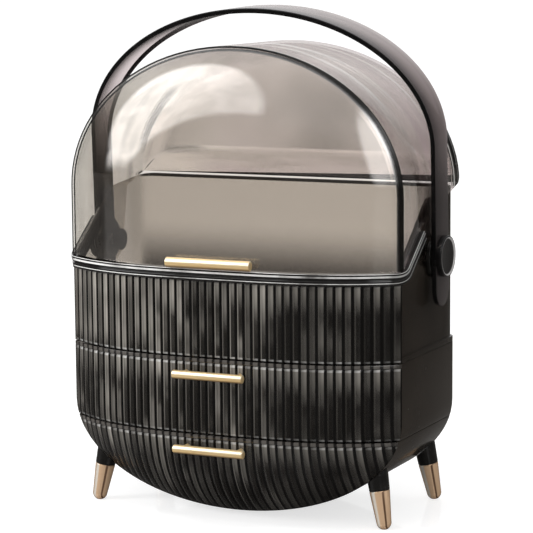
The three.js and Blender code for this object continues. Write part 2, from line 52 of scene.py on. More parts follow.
bpy.context.scene.camera = camera
bpy.context.scene.view_settings.view_transform = "Standard"


# Table and studio: a white table top, a tall softbox on the left, a narrow one beside the
# camera and one above. The room is plain, and its windows show only where it is mirrored.
class Socket:
    """An output of a shader node. Sums and products on it add Math nodes to its tree."""

    def __init__(self, tree, output):
        self.tree = tree
        self.output = output

    def node(self, kind, settings=None, inputs=None, output=0):
        """Adds a node: its settings first, then the values or links of its sockets."""
        made = self.tree.nodes.new(kind)
        for name, value in (settings or {}).items():
            setattr(made, name, value)
        for key, value in (inputs or {}).items():
            if isinstance(value, Socket):
                self.tree.links.new(value.output, made.inputs[key])
            else:
                made.inputs[key].default_value = value
        return Socket(self.tree, made.outputs[output])

    def math(self, operation, *values):
        return self.node("ShaderNodeMath", {"operation": operation}, dict(enumerate(values)))

    def __add__(self, other):
        return self.math("ADD", self, other)

    __radd__ = __add__

    def __mul__(self, other):
        return self.math("MULTIPLY", self, other)

    __rmul__ = __mul__

    def __sub__(self, other):
        return self.math("SUBTRACT", self, other)

    def __rsub__(self, other):
        return self.math("SUBTRACT", other, self)

    def __truediv__(self, other):
        return self.math("DIVIDE", self, other)

    def __abs__(self):
        return self.math("ABSOLUTE", self)

    def rise(self, low, high):
        """0 below low, 1 above high, and smooth between them."""
        return self.node(
            "ShaderNodeMapRange",
            {"interpolation_type": "SMOOTHSTEP"},
            {"Value": self, "From Min": low, "From Max": high},
        )

    def blend(self, first, second):
        """The first colour where this is 0 and the second where it is 1."""
        return self.node(
            "ShaderNodeMix",
            {"data_type": "RGBA"},
            {0: self, "A": first, "B": second},
            "Result",
        )

    def layer(self, first, second):
        """The first shader where this is 0 and the second where it is 1."""
        return self.node("ShaderNodeMixShader", None, {0: self, 1: first, 2: second})

    def noise(self, scale, detail, **others):
        inputs = {"Vector": self, "Scale": scale, "Detail": detail, **others}
        return self.node("ShaderNodeTexNoise", None, inputs)

    def stretched(self, *scale):
        return self.node("ShaderNodeMapping", None, {"Vector": self, "Scale": scale})

    def axis(self, name):
        return self.node("ShaderNodeSeparateXYZ", None, {0: self}, name)

    def ray(self, kind):
        """1 where the light path is of one kind."""
        return self.node("ShaderNodeLightPath", None, None, f"Is {kind} Ray")


room = bpy.data.worlds.new("studio_room")
room.use_nodes = True
bpy.context.scene.world = room
room_nodes = room.node_tree.nodes
room_nodes.clear()
direction = Socket(room.node_tree, room_nodes.new("ShaderNodeTexCoord").outputs["Generated"])
right = direction.axis("X")
behind = direction.axis("Y")
above = direction.axis("Z")
window_strength = 3.6
strip_strength = 4.5
open_strength = 0.8
wall_strength = 0.18
dark_strength = 0.04
plain_fill = 0.6
toward_window = -0.737 * right - 0.673 * behind
high_window = (toward_window + 0.574 * above).rise(0.985, 1.03)
low_window = (toward_window + 0.15 * above).rise(0.925, 0.955)
window = direction.math("MAXIMUM", high_window, low_window)
window *= (above + 1.87 * behind).rise(-1.19, -1.03) * above.rise(0.0, 0.13)
curtain = direction.noise(3.5, 4.0, Distortion=1.5).rise(0.38, 0.62)
window *= 0.72 + 0.28 * curtain
strip_light = (right + 0.3 * above).rise(0.64, 0.7) * (1 - behind.rise(-0.4, -0.25))
strip_light *= above.rise(0.0, 0.12) * (1 - above.rise(0.6, 0.82))
strip_light *= 1 - 0.85 * right.rise(0.72, 0.82)
black_card = behind.rise(-0.1, 0.5) * (right - above).rise(-0.45, 0.15)
walls = right.rise(-0.98, -0.78) * (1 - black_card)
open_room = walls * direction.math("MAXIMUM", behind.rise(-0.2, 0.3), above.rise(0.25, 0.7))
open_room *= 1 - 0.6 * right.rise(-0.25, 0.15) * behind.rise(0.5, 0.8)
mirrored = dark_strength + wall_strength * walls + open_strength * open_room
mirrored += window_strength * window + strip_strength * strip_light
plain = 1 - (1 - plain_fill) * direction.ray("Diffuse")
room_strength = plain + direction.ray("Glossy") * (mirrored - plain)
room_light = direction.node(
    "ShaderNodeBackground", None, {"Color": (1, 1, 1, 1), "Strength": room_strength}
)
room_out = room_nodes.new("ShaderNodeOutputWorld")
room.node_tree.links.new(room_light.output, room_out.inputs["Surface"])


def softbox(name, place, aim, width, height, watts):
    """A softbox that lights the case and isn't mirrored in it."""
    lamp = bpy.data.lights.new(name, "AREA")
    lamp.shape = "RECTANGLE"
    lamp.size = width
    lamp.size_y = height
    lamp.energy = watts
    stand = bpy.data.objects.new(name, lamp)
    stand.location = place
    stand.rotation_mode = "QUATERNION"
    stand.rotation_quaternion = (Vector(aim) - Vector(place)).to_track_quat("-Z", "Y")
    stand.visible_glossy = False
    bpy.context.scene.collection.objects.link(stand)


softbox("softbox_left", (-1.35, -0.95, 0.75), (0, 0, 0.25), 0.5, 0.9, 12)
softbox("softbox_right", (1.0, -1.9, 0.75), (0, 0, 0.2), 0.22, 0.8, 6)
softbox("softbox_above", (-0.1, -0.3, 1.7), (0, 0, 0.2), 0.7, 0.7, 10)


def new_finish(name):
    """A material with an empty node tree, and the place on the piece as its first socket."""
    finish = bpy.data.materials.new(name)
    finish.use_nodes = True
    finish.node_tree.nodes.clear()
    place = finish.node_tree.nodes.new("ShaderNodeTexCoord").outputs["Object"]
    return finish, Socket(finish.node_tree, place)


def cover(shader):
    """Makes a shader the surface of its material."""
    out = shader.tree.nodes.new("ShaderNodeOutputMaterial")
    shader.tree.links.new(shader.output, out.inputs["Surface"])


table_finish, place = new_finish("white_table")
pale = place.node("ShaderNodeBsdfDiffuse", None, {"Color": (0.55, 0.55, 0.55, 1)})
dim = place.node("ShaderNodeBsdfDiffuse", None, {"Color": (0.16, 0.15, 0.14, 1)})
matt = place.ray("Glossy").layer(pale, dim)
sheen = place.node("ShaderNodeBsdfGlossy", None, {"Color": (1, 1, 1, 1), "Roughness": 0.07})
top = place.node("ShaderNodeMixShader", None, {0: 0.07, 1: matt, 2: sheen})
glow = place.ray("Camera") + place.ray("Transmission") + 0.05 * place.ray("Glossy")
lit = place.node("ShaderNodeEmission", None, {"Color": (1, 1, 1, 1), "Strength": 0.69 * glow})
cover(place.node("ShaderNodeAddShader", None, {0: top, 1: lit}))
table_reach = 150
bpy.ops.mesh.primitive_plane_add(size=2 * table_reach)
table = bpy.context.object
table.name = "table_top"
table.data.materials.append(table_finish)

# Lower casing: a moulded tub of smoke-brown plastic, glossy and almost opaque, with a round
# belly and a rounded back. It is open in front for the lower drawer.
mm = 0.001
half_width = 145
belly_z = 86.5
belly_height = 82
crown_z = 262
crown_height = 114.5
front_y = -47.1
wall_depth = 122
back_radius = 12
bulge = 36
bulge_power = 3.3
dish_power = 1.5
wall = 2.5
inner_radius = back_radius - wall
seam_gap = 0.3
front_gap = 0.4
lower_seam_z = 72.4
lower_top_z = lower_seam_z - seam_gap / 2
casing_edge = 0.5
far = 400
bevel_angle = math.radians(40)
sharp_angle = math.radians(32)
merge_reach = 1e-7
weld_reach = 2e-5
speck_reach = 1e-5
arc_steps = 48
edge_steps = 7
dish_steps = 18


def shaped(name, points, faces):
    """A closed mesh from points in millimetres, counted back from the walls' front edge."""
    mesh = bpy.data.meshes.new(name)
    mesh.from_pydata([(x * mm, (y + front_y) * mm, z * mm) for x, y, z in points], [], faces)
    made = bmesh.new()
    made.from_mesh(mesh)
    bmesh.ops.remove_doubles(made, verts=made.verts, dist=merge_reach)
    bmesh.ops.recalc_face_normals(made, faces=made.faces)
    made.to_mesh(mesh)
    made.free()
    piece = bpy.data.objects.new(name, mesh)
    bpy.context.scene.collection.objects.link(piece)
    return piece


def lofted(name, rings):
    """A closed mesh through rings of equally many points, with a flat face at either end."""
    count = len(rings[0])
    points = [point for ring in rings for point in ring]
    faces = [tuple(range(count)), tuple(range(len(points) - count, len(points)))]
    for start in range(0, len(points) - count, count):
        for i in range(count):
            j = (i + 1) % count
            faces.append((start + i, start + j, start + count + j, start + count + i))
    return shaped(name, points, faces)


def outline(y, inset, share=1.0):
    """The case's outline seen from the front, at one depth."""
    points = []
    arcs = ((crown_z, crown_height, 0), (belly_z, belly_height, math.pi))
    for middle, height, start in arcs:
        for step in range(arc_steps + 1):
            turn = start + step / arc_steps * math.pi
            x = (half_width - inset) * share * math.cos(turn)
            points.append((x, y, middle + (height - inset) * share * math.sin(turn)))
    return points


def back_rings(rear, inset, radius):
    """The outlines that round off the rear edge."""
    rings = []
    for step in range(edge_steps + 1):
        turn = step / edge_steps * math.pi / 2
        deep = rear - radius + radius * math.sin(turn)
        rings.append(outline(deep, inset + radius * (1 - math.cos(turn))))
    return rings


def barrel(name, inset, front, rear, radius):
    """The case's body behind a flat front."""
    return lofted(name, [outline(front, inset), *back_rings(rear, inset, radius)])


def bulge_depth(inset, x, z):
    """How far the dished front stands out at a point of the front view."""
    across = x / (half_width - inset)
    below = max(belly_z - z, 0) / (belly_height - inset)
    return (bulge - inset) * (1 - math.hypot(across, below) ** bulge_power)


def dish_rings(inset):
    """The outlines from the front's middle out to its edge."""
    rings = []
    for step in range(1, dish_steps):
        share = 1 - (1 - step / dish_steps) ** dish_power
        rings.append(outline(-(bulge - inset) * (1 - share**bulge_power), inset, share))
    return rings


def dished_barrel(name, inset, rear, radius):
    """The case's body with its dished front."""
    rings = [*dish_rings(inset), outline(0, inset), *back_rings(rear, inset, radius)]
    return lofted(name, rings)


def dish(name, inset):
    """The dished front alone, closed flat behind."""
    return lofted(name, [*dish_rings(inset), outline(0, inset)])


def block(name, from_x, to_x, from_y, to_y, from_z, to_z):
    rings = [
        [(from_x, from_y, z), (to_x, from_y, z), (to_x, to_y, z), (from_x, to_y, z)]
        for z in (from_z, to_z)
    ]
    return lofted(name, rings)


def slab(from_z, to_z):
    """A flat block far wider than the case, for cuts at a height."""
    return block("slab", -far, far, -far, far, from_z, to_z)


def settle(piece):
    """Turns a piece's modifiers into its own mesh."""
    graph = bpy.context.evaluated_depsgraph_get()
    mesh = bpy.data.meshes.new_from_object(piece.evaluated_get(graph))
    piece.modifiers.clear()
    piece.data = mesh
    return piece


def cut(piece, tool, operation="DIFFERENCE"):
    """Cuts a piece with another closed mesh, joins them or keeps what they share."""
    change = piece.modifiers.new("cut", "BOOLEAN")
    change.object = tool
    change.operation = operation
    change.solver = "MANIFOLD"
    settle(piece)
    bpy.data.objects.remove(tool)


def soften(piece, width):
    """Breaks the sharp edges as a mould does."""
    made = bmesh.new()
    made.from_mesh(piece.data)
    bmesh.ops.remove_doubles(made, verts=made.verts, dist=weld_reach)
    bmesh.ops.dissolve_degenerate(made, edges=made.edges, dist=speck_reach)
    made.to_mesh(piece.data)
    made.free()
    edge = piece.modifiers.new("edge", "BEVEL")
    edge.width = width * mm
    edge.segments = 2
    edge.limit_method = "ANGLE"
    edge.angle_limit = bevel_angle
    return settle(piece)


def fit(piece, body, slot, nodes, *finishes):
    """Gives a piece its finish and lets it stand and move in place of its CAD nodes."""
    piece.data.materials.clear()
    for finish in finishes:
        piece.data.materials.append(finish)
    for face in piece.data.polygons:
        face.material_index = 0
    piece.data.shade_smooth()
    piece.data.set_sharp_from_angle(angle=sharp_angle)
    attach(piece, body)
    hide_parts(*nodes)


def relief(height, strength, distance):
    """The bent surface over a fine relief."""
    inputs = {"Strength": strength, "Distance": distance, "Height": height}
    return height.node("ShaderNodeBump", None, inputs)


def moulded(place, size, strength):
    """The slight waviness of a moulded surface."""
    return relief(place.noise(size, 2.0), strength, 0.002)


def surface(place, colour, roughness, others):
    """A surface from its colour, its roughness and the values of its other sockets."""
    inputs = {"Base Color": colour, "Roughness": roughness, **others}
    return place.node("ShaderNodeBsdfPrincipled", None, inputs)


casing_finish, place = new_finish("smoke_casing")
cloud = place.noise(9.0, 3.0).rise(0.35, 0.7)
scuff = place.noise(160.0, 5.0).rise(0.45, 0.75)
casing_colour = cloud.blend((0.024, 0.0195, 0.0155, 1), (0.038, 0.031, 0.0245, 1))
casing_sheen = {"Specular IOR Level": 0.2, "Normal": moulded(place, 14.0, 0.08)}
cover(surface(place, casing_colour, 0.16 + 0.12 * scuff, casing_sheen))
lower_casing = barrel("lower_casing", 0, front_gap, wall_depth, back_radius)
cut(lower_casing, barrel("hollow", wall, -far, wall_depth - wall, inner_radius))
cut(lower_casing, slab(-far, lower_top_z), "INTERSECT")
soften(lower_casing, casing_edge)
fit(lower_casing, "case", "smoke_casing", ["lower_housing"], casing_finish)

# Middle casing: the same outline with straight sides and a floor of its own. It stands on
# the lower casing and holds the middle drawer.
upper_seam_z = 134
middle_floor_z = lower_seam_z + seam_gap / 2
middle_top_z = upper_seam_z - seam_gap / 2
middle_casing = barrel("middle_casing", 0, front_gap, wall_depth, back_radius)
cut(middle_casing, slab(middle_floor_z, middle_top_z), "INTERSECT")
hollow = barrel("hollow", wall, -far, wall_depth - wall, inner_radius)
cut(hollow, slab(middle_floor_z + wall, far), "INTERSECT")
cut(middle_casing, hollow)
soften(middle_casing, casing_edge)
fit(middle_casing, "case", "smoke_casing", ["middle_housing"], casing_finish)

# Display case: floor, low lip, side walls, back wall and dished front wall in one moulding
# of the same smoke-brown plastic. The side walls step in above the lip for the lid.
case_inset = 2.2
lip_top_z = 138.5
rim_z = 205
running_gap = 0.3
lid_slope = math.tan(math.radians(37.2))
lid_lift = 1
lid_edge_z = rim_z + lid_lift
back_top_z = 262
side_top_z = 256
slope_end_y = 60
lap = 4
panel_thickness = 2.8
panel_gap = 0.3
bin_wall = 2
bin_inset = panel_thickness + panel_gap
case_edge = 0.4
pivot_y = 65.5
pivot_z = 210.5
pin_radius = 4.5
bore_radius = pin_radius + running_gap


def slope_z(y):
    """The height of the lid's sloping side edge at one depth."""
    return lid_edge_z + y * lid_slope


def side_plate(points):
    """A side-view outline carried through from side to side."""
    return lofted("plate", [[(x, y, z) for y, z in points] for x in (-far, far)])


def turned(name, profile, steps=48, closed=False):
    """A solid of revolution about the X axis from points of x along it and radius."""
    rings = []
    for along, radius in profile:
        ring = []
        for step in range(steps):
            turn = 2 * math.pi * step / steps
            ring.append((along, radius * math.cos(turn), radius * math.sin(turn)))
        rings.append(ring)
    if not closed:
        return lofted(name, rings)
    count = len(rings)
    points = [point for ring in rings for point in ring]
    faces = []
    for here in range(count):
        after = (here + 1) % count
        for i in range(steps):
            j = (i + 1) % steps
            faces.append(
                (here * steps + i, here * steps + j, after * steps + j, after * steps + i)
            )
    return shaped(name, points, faces)


def moved(piece, x, y, z):
    """Moves a mesh by millimetres, with its object still at the origin."""
    piece.data.transform(Matrix.Translation((x * mm, y * mm, z * mm)))
    return piece


def bore_across(piece, y, z):
    """Bores a piece from side to side for the pivot pins."""
    bore = turned("bore", [(-far, bore_radius), (far, bore_radius)])
    cut(piece, moved(bore, 0, y, z))


def tint(place, red, green, blue):
    """Clear plastic that lets one colour through."""
    return place.node("ShaderNodeBsdfTransparent", None, {"Color": (red, green, blue, 1)})


display_floor_z = upper_seam_z + seam_gap / 2
case_top = [
    (-far, rim_z - running_gap),
    (front_gap, rim_z - running_gap),
    (lap, slope_z(lap)),
    (slope_end_y, side_top_z),
    (wall_depth, back_top_z),
    (far, back_top_z),
    (far, display_floor_z),
    (-far, display_floor_z),
]
display_case = barrel("display_case_walls", case_inset, front_gap, wall_depth, back_radius)
cut(display_case, dished_barrel("front_wall", bin_inset, wall_depth / 2, inner_radius), "UNION")
cut(display_case, side_plate(case_top), "INTERSECT")
cut(display_case, slab(display_floor_z, crown_z), "INTERSECT")
lip = barrel("lip", 0, front_gap, wall_depth, back_radius)
cut(lip, slab(display_floor_z, lip_top_z), "INTERSECT")
cut(display_case, lip, "UNION")
hollow = barrel("hollow", case_inset + wall, front_gap, wall_depth - wall, inner_radius)
front_inset = bin_inset + bin_wall
front_hollow = dished_barrel("front_hollow", front_inset, wall_depth - wall, inner_radius)
cut(hollow, front_hollow, "UNION")
cut(hollow, slab(display_floor_z + wall, far), "INTERSECT")
cut(display_case, hollow)
bore_across(display_case, pivot_y, pivot_z)
soften(display_case, case_edge)
case_finish, place = new_finish("display_smoke")
cloud = place.noise(9.0, 3.0)
case_colour = cloud.rise(0.35, 0.7).blend((0.022, 0.0178, 0.0142, 1), (0.034, 0.0278, 0.022, 1))
case_sheen = {"Specular IOR Level": 0.2, "Normal": moulded(place, 14.0, 0.08)}
case_body = surface(place, case_colour, 0.14 + 0.1 * cloud, case_sheen)
in_back = place.axis("Y").rise(0.06, 0.072)
sideways = abs(place.axis("X"))
clear_back = place.axis("Z").rise(0.155, 0.225) * in_back
# Painted shade: the back wall is kept dark, not clear, at its right rear corner.
clear_back *= 1 - place.axis("X").rise(0.105, 0.135)
above_slope = place.axis("Z") - (place.axis("Y") - front_y * mm) * lid_slope - lid_edge_z * mm
rim_line = above_slope.rise(-0.0062, -0.0052) * (1 - place.axis("Y").rise(0.008, 0.014))
back_rim = place.axis("Z").rise((back_top_z - 3.0) * mm, (back_top_z - 2.4) * mm)
clear_side = sideways.rise(0.134, 0.138) * (1 - in_back)
# Painted shade: the right side wall is kept less clear, so darker, than the left.
clear_side *= 1 - 0.6 * place.axis("X").rise(-0.1, 0.1)
case_solid = 0.96 - 0.82 * clear_back * (1 - back_rim) - 0.68 * clear_side * (1 - rim_line)
cover(case_solid.layer(tint(place, 0.84, 0.81, 0.77), case_body))
fit(display_case, "case", "smoke_casing", ["display_case"], case_finish)

# Rim bead: the thick rolled edge of the display case's mouth, moulded with it. It follows
# the dished front and climbs the slope on either side, and has a groove along its face.
bead_height = 9.4
bead_outset = 4
bead_inset = 4.2
bead_end_y = 41
bead_radius = 0.6
least_span = 0.01
corner_steps = 4
bead_front_steps = 24
bead_front_share = 0.95
bead_climb_steps = 8
bead_climb_share = 0.2
bead_finish, place = new_finish("bead_gloss")
dust = place.noise(220.0, 4.0)
bead_colour = dust.rise(0.4, 0.8).blend((0.004, 0.0035, 0.003, 1), (0.012, 0.011, 0.01, 1))
bead_sheen = {"Specular IOR Level": 0.5, "Normal": moulded(place, 60.0, 0.08)}
cover(surface(place, bead_colour, 0.06 + 0.08 * dust.rise(0.5, 0.8), bead_sheen))
# The bead's bright lines are painted highlights: near-white colour on chosen strips of its
# section, dimmer to the right and at the side ends.
bead_highlight_finish, place = new_finish("bead_painted_highlight")
glint = place.noise(28.0, 4.0)
dimmer_right = 1 - 0.2 * place.axis("X").rise(-0.05, 0.12)
dimmer_right *= 1 - 0.55 * abs(place.axis("X")).rise(0.137, 0.141)
highlight_share = glint.rise(0.3, 0.55) * dimmer_right
highlight_colour = highlight_share.blend((0.12, 0.115, 0.11, 1), (1.0, 0.99, 0.97, 1))
cover(surface(place, highlight_colour, 0.12 + 0.1 * glint, {"Coat Weight": 1.0}))


def rounded(corners, radius):
    """A row of points with the corners between its ends rounded off."""
    smooth = [Vector(corners[0])]
    for before, corner, after in zip(corners, corners[1:], corners[2:]):
        middle = Vector(corner)
        back = Vector(before) - middle
        on = Vector(after) - middle
        reach = min(radius, back.length / 2, on.length / 2)
        first = middle + back.normalized() * reach
        last = middle + on.normalized() * reach
        for step in range(corner_steps + 1):
            share = step / corner_steps
            smooth.append(first.lerp(middle, share).lerp(middle.lerp(last, share), share))
    smooth.append(Vector(corners[-1]))
    return smooth


bead_half = bead_height / 2
bead_middle_inset = (bead_inset - bead_outset) / 2
bead_thick = (bead_inset + bead_outset) / 2
bead_side_x = half_width - bead_middle_inset
bead_front_z = rim_z - bead_half
bead_drop = (bead_half + lid_lift + running_gap) * math.hypot(1, lid_slope)
bead_turn_y = (bead_front_z - slope_z(0) + bead_drop) / lid_slope
bead_climb_y = bead_end_y * bead_climb_share
bead_path = []
for step in range(bead_front_steps + 1):
    x = bead_side_x * bead_front_share * math.sin(step / bead_front_steps * math.pi / 2)
    bead_path.append(Vector((x, -bulge_depth(bead_middle_inset, x, bead_front_z), bead_front_z)))
corner_start = bead_path.pop()
corner_top = Vector((bead_side_x, bead_turn_y, bead_front_z))
corner_end = Vector((bead_side_x, bead_climb_y, slope_z(bead_climb_y) - bead_drop))
for step in range(bead_climb_steps + 1):
    share = step / bead_climb_steps
    before = corner_start.lerp(corner_top, share)
    bead_path.append(before.lerp(corner_top.lerp(corner_end, share), share))
for step in range(1, bead_climb_steps + 1):
    y = bead_climb_y + (bead_end_y - bead_climb_y) * step / bead_climb_steps
    bead_path.append(Vector((bead_side_x, y, slope_z(y) - bead_drop)))
bead_path = [Vector((-p.x, p.y, p.z)) for p in reversed(bead_path[1:])] + bead_path
groove_x = bead_thick - 1.1
bead_foot_x = bead_thick - 0.2
bead_corners = [(0, bead_half), (bead_thick, bead_half)]
bead_corners += [(bead_thick, level) for level in (3.1, 1.9, 0.9)]
bead_corners += [(groove_x, 0.4), (groove_x, -0.2)]
bead_corners += [(bead_foot_x, level) for level in (-0.7, -2.2, -3.0, -bead_half)]
bead_corners += [(-bead_thick, -bead_half), (-bead_thick, bead_half), (0, bead_half)]
bead_round = rounded(bead_corners, bead_radius)
spans = [(after - point).length for point, after in zip(bead_round, bead_round[1:])]
bead_section = [point for point, span in zip(bead_round, spans) if span > least_span]
bead_rings = []
for i, point in enumerate(bead_path):
    before = bead_path[max(i - 1, 0)]
    after = bead_path[min(i + 1, len(bead_path) - 1)]
    along = (after - before).normalized()
    out = Vector((point.x, min(point.y, 0), 0))
    out = (out - along * out.dot(along)).normalized()
    up = out.cross(along).normalized()
    if up.z < 0:
        up.negate()
    bead_rings.append([point + out * o + up * u for o, u in bead_section])
rim_bead = lofted("rim_bead", bead_rings)
fit(rim_bead, "case", "smoke_casing", ["display_case"], bead_finish, bead_highlight_finish)
# The strips at these levels of the section, on its outer face, take the painted highlight
# finish.
lit_levels = ((4.3, 5.0), (1.7, 3.0), (-3.0, -2.4))
lit_from_x = bead_thick - 1.4
lit_strips = set()
for strip_number, (start, end) in enumerate(zip(bead_section, bead_section[1:])):
    middle = (start + end) / 2
    lit = any(low < middle.y < high for low, high in lit_levels)
    if lit and middle.x > lit_from_x:
        lit_strips.add(strip_number)
for face in rim_bead.data.polygons:
    if face.index > 1 and (face.index - 2) % len(bead_section) in lit_strips:
        face.material_index = 1

# Ribbed fronts: a thin dished panel of clearer smoke plastic in front of the display case
# and of each drawer, moulded with upright reeds that end just short of its edges.
rib_pitch = 6.6
rib_depth = 1.25
rib_columns = 10
rib_end = 1.8
drawer_gap = 0.5
lip_height = 2.8
panel_foot_gap = 0.4
lip_room = drawer_gap + lip_height + panel_gap
end_from_edge = 1.2
glow_drop = 24
side_gap = 0.02
row_shares = [0, 0.003, 0.008, 0.016, 0.03, 0.05, 0.08, 0.12, 0.18]
row_shares += [0.25, 0.33, 0.42, 0.52, 0.62, 0.72, 0.82, 0.9]
end_rows = 5
panel_ends = {
    "display": (display_floor_z + panel_foot_gap, rim_z - bead_height - panel_gap),
    "middle": (middle_floor_z + panel_foot_gap, middle_top_z - lip_room),
    "lower": (-far, lower_top_z - lip_room),
}


def reeds(place):
    """The number of the reed at a place, and the distance from its middle as a share."""
    across = place.axis("X") / (rib_pitch * mm)
    number = place.math("FLOOR", across)
    return number, across - number - 0.5


rib_finish, place = new_finish("smoke_ribs")
height = place.axis("Z")
number, beside = reeds(place)
in_groove = (abs(beside) * 2).rise(0.58, 0.72)
# Painted light: one side of each reed is coloured lighter than the other.
lit_side = beside.rise(-0.3, 0.25)
# Painted light: tall soft patches of light, a few reeds wide.
spread = {"X": number * 0.31, "Y": height * 16.0, "Z": number * 0.07}
light_patches = place.node("ShaderNodeCombineXYZ", None, spread).noise(1.0, 2.5)
each_rib = place.node("ShaderNodeTexWhiteNoise", {"noise_dimensions": "1D"}, {"W": number})
# Painted light: a lighter zone just under each panel's top, and painted glints at the reed ends
# by the foot and top of each panel.
lit_below_top = 0
end_glints = 0
for level, foot_highlight_share, top_highlight_share in (
    ("display", 0.8, 0.15),
    ("middle", 0.4, 1.0),
    ("lower", 0, 0.7),
):
    foot, top = panel_ends[level]
    above_top = height.rise(top * mm, (top + 1) * mm)
    lit_below_top += height.rise((top - glow_drop) * mm, top * mm) * (1 - above_top)
    from_foot = abs(height - (foot + end_from_edge) * mm)
    from_top = abs(height - (top - end_from_edge) * mm)
    end_glints += foot_highlight_share * (1 - from_foot.rise(0.5 * mm, 1.0 * mm))
    end_glints += top_highlight_share * (1 - from_top.rise(0.7 * mm, 1.2 * mm))
# Painted shade on the right half and painted light on the upper left of the fronts.
dim_right = place.axis("X").rise(0.0, 0.07)
bright_left = (1 - place.axis("X").rise(-0.11, -0.02)) * height.rise(0.134, 0.15)
light = 0.03 + 0.62 * light_patches.rise(0.45, 0.68) + 0.4 * bright_left
light = light * (1 - 0.68 * dim_right) + 0.34 * lit_below_top
light *= (0.45 + 1.1 * each_rib) * (0.35 + 0.65 * lit_side)
# Painted shade: darker toward the bottom.
light *= 0.3 + 0.7 * height.rise(0.025, 0.1)
# Painted highlight: a thin bright line along each reed, faint on the right.
glint = (1 - abs(beside + 0.2).rise(0.04, 0.11)) * (1 - 0.8 * place.axis("X").rise(0.02, 0.06))
light += 0.45 * glint * (0.3 + 0.7 * each_rib) * (0.35 + 0.65 * height.rise(0.05, 0.13))
light = place.math("MINIMUM", light, 1.0)
face_colour = light.blend((0.006, 0.0053, 0.0046, 1), (0.56, 0.52, 0.465, 1))
# The painted glints at the reed ends are near white.
ended = end_glints * (0.25 + 0.75 * each_rib) * (0.3 + 0.7 * lit_side) * (1 - 0.3 * dim_right)
face_colour = ended.blend(face_colour, (0.8, 0.79, 0.77, 1))
# Painted shade: the grooves between the reeds are coloured near black.
rib_colour = in_groove.blend(face_colour, (0.003, 0.0026, 0.0023, 1))
rib_sheen = {"Specular IOR Level": 0.2, "Normal": moulded(place, 60.0, 0.05)}
rib_body = surface(place, rib_colour, 0.1 + 0.12 * light_patches, rib_sheen)
rib_solid = 0.8 + 0.15 * in_groove
cover(rib_solid.layer(tint(place, 0.75, 0.7, 0.64), rib_body))


def belly_edge(x):
    """The height of the outline's lower edge at one x."""
    share = min(abs(x) / half_width, 1)
    return belly_z - belly_height * math.sqrt(1 - share * share)


def ribbed_panel(name, foot_z, top_z):
    """The panel as columns of constant x, so that every reed runs in an upright plane."""
    below = max(belly_z - top_z, 0) / belly_height
    reach = half_width * math.sqrt(1 - below * below) - side_gap
    columns = 2 * math.ceil(reach / rib_pitch * rib_columns)
    rows = len(row_shares) + end_rows
    points = []
    for side in (0, 1):
        for i in range(columns + 1):
            x = reach * (2 * i / columns - 1)
            low = max(foot_z, belly_edge(x))
            heights = [low + (top_z - low) * share for share in row_shares]
            last = heights[-1]
            for j in range(end_rows):
                mark = top_z - rib_end * (1 - j / (end_rows - 1)) ** 2
                heights.append(max(last, mark))
            phase = x / rib_pitch - math.floor(x / rib_pitch)
            reed = math.sqrt(max(1 - (2 * phase - 1) ** 2, 0))
            for z in heights:
                edge = min(top_z - z, z - low) / rib_end
                ended = math.sqrt(max(1 - (1 - min(edge, 1)) ** 2, 0))
                if side == 0:
                    y = -max(bulge_depth(0, x, z), 0) + rib_depth * (1 - reed * ended)
                    y = min(y, 0)
                else:
                    y = -max(bulge_depth(panel_thickness, x, z), 0)
                points.append((x, y, z))
    faces = []
    sheet = (columns + 1) * rows
    for i in range(columns):
        for j in range(rows - 1):
            a = i * rows + j
            b = a + rows
            faces.append((a, b, b + 1, a + 1))
            faces.append((sheet + a, sheet + a + 1, sheet + b + 1, sheet + b))
        for j in (0, rows - 1):
            a = i * rows + j
            faces.append((a, a + rows, sheet + a + rows, sheet + a))
    for i in (0, columns):
        for j in range(rows - 1):
            a = i * rows + j
            faces.append((a, a + 1, sheet + a + 1, sheet + a))
    return shaped(name, points, faces)


display_ribs = ribbed_panel("display_ribs", *panel_ends["display"])
fit(display_ribs, "case", "smoke_ribs", ["display_front"], rib_finish)

# Feet: four splayed legs. Each is a black glossy collar held under the casing and a metal
# tip with a round end, turned from brass and plated rose gold.
foot_x = half_width - 17.5
front_foot_y = 6
rear_foot_y = 116
foot_lean_x = math.tan(math.radians(10.3))
foot_lean_y = math.tan(math.radians(4.5))
foot_end_radius = 6
foot_flat = 0.6
tip_top_radius = 8.2
tip_length = 25
collar_top_radius = 10
collar_reach = 41
foot_edge = 0.5
foot_core = 1
end_steps = 8
black_finish, place = new_finish("black_gloss")
dust = place.noise(220.0, 4.0)
black_colour = dust.rise(0.4, 0.8).blend((0.006, 0.0055, 0.005, 1), (0.014, 0.013, 0.012, 1))
black_sheen = {"Specular IOR Level": 0.35, "Normal": moulded(place, 30.0, 0.05)}
cover(surface(place, black_colour, 0.08 + 0.1 * dust.rise(0.5, 0.8), black_sheen))
tip_finish, place = new_finish("rose_gold")
turning = place.stretched(60, 60, 2600).noise(1.0, 3.0)
# Painted reflection: a bright highlight strip and a dark streak set by which way the surface
# faces, and darker brown where the tip is seen edge-on.
tip_facing = place.node("ShaderNodeLayerWeight", None, {"Blend": 0.5}, "Facing")
tip_gold = turning.blend((0.95, 0.63, 0.39, 1), (1.0, 0.7, 0.46, 1))
toward_right = place.node("ShaderNodeTexCoord", None, None, "Normal").axis("X")
highlight_strip = 1 - abs(toward_right + 0.36).rise(0.1, 0.3)
dark_reflection_strip = 1 - abs(toward_right - 0.62).rise(0.05, 0.14)
tip_gold = highlight_strip.blend(tip_gold, (1.0, 0.93, 0.82, 1))
tip_gold = (dark_reflection_strip * 0.95).blend(tip_gold, (0.12, 0.06, 0.03, 1))
tip_gold = (tip_facing.rise(0.4, 0.95) * 0.75).blend(tip_gold, (0.36, 0.22, 0.12, 1))
tip_metal = {"Metallic": 0.5, "Normal": relief(turning, 0.05, 0.0003)}
